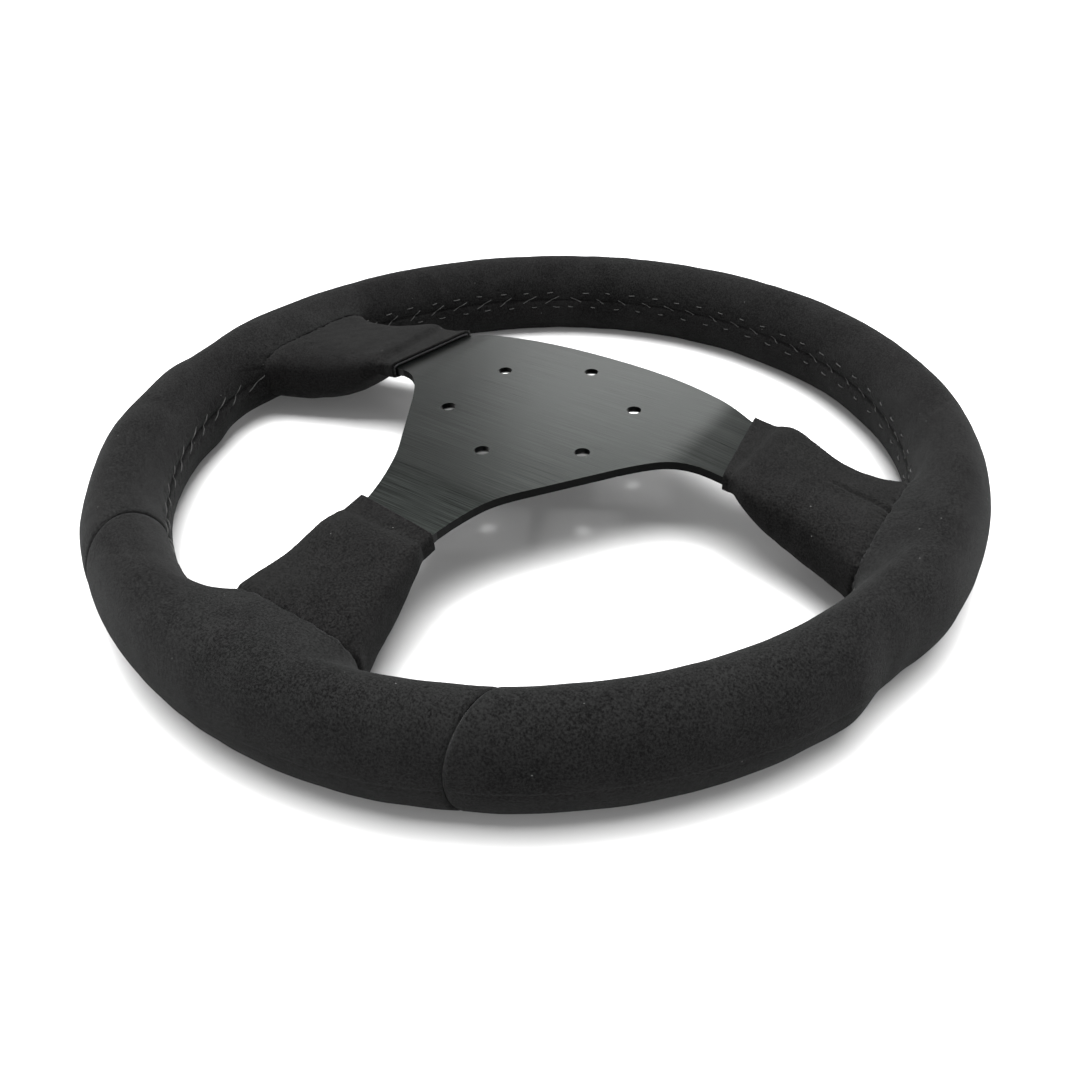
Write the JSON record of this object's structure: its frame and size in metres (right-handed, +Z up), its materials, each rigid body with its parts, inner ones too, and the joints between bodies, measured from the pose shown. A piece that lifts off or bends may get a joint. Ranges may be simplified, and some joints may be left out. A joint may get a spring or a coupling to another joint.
{
  "type": "racing steering wheel",
  "caption": "Dished three-spoke racing steering wheel: a brushed dark spoke plate drilled for a hub, padded spoke roots and a thick oval rim in hand-laced black suede.",
  "frame": {"origin": "centre of the bolt circle on the spoke plate's mounting face, the one towards the column", "axes": "+Z up the steering axis towards the column, +Y to twelve o'clock, the driver on the -Z side, so +X is at the driver's left hand"},
  "size_m": [0.32, 0.32, 0.0376],
  "materials": {
    "anodised_plate": "straight-brushed and dark anodised, satin",
    "core_steel": "mill finish, hidden",
    "rivet_aluminium": "plain, hidden",
    "moulded_foam": "moulded polyurethane foam, hidden",
    "rim_suede": "napped suede, charcoal black",
    "boot_suede": "napped suede, charcoal black",
    "cuff_backing": "glued backing cloth, seen edge on",
    "lacing_thread": "waxed dark grey thread"
  },
  "bodies": {
    "root": {"spoke_plate": "anodised_plate", "rim_core": "core_steel", "spoke_rivets": "rivet_aluminium", "rim_foam": "moulded_foam", "spoke_pad_right": "moulded_foam", "spoke_pad_left": "moulded_foam", "spoke_pad_lower": "moulded_foam", "rim_cover_upper": "rim_suede", "rim_cover_lower": "rim_suede", "boot_right": "boot_suede", "boot_left": "boot_suede", "boot_lower": "boot_suede", "cuff_backing_right": "cuff_backing", "cuff_backing_left": "cuff_backing", "cuff_backing_lower": "cuff_backing", "thread_upper_right": "lacing_thread", "thread_upper_left": "lacing_thread", "thread_lower_right": "lacing_thread", "thread_lower_left": "lacing_thread"}
  },
  "joints": []
}
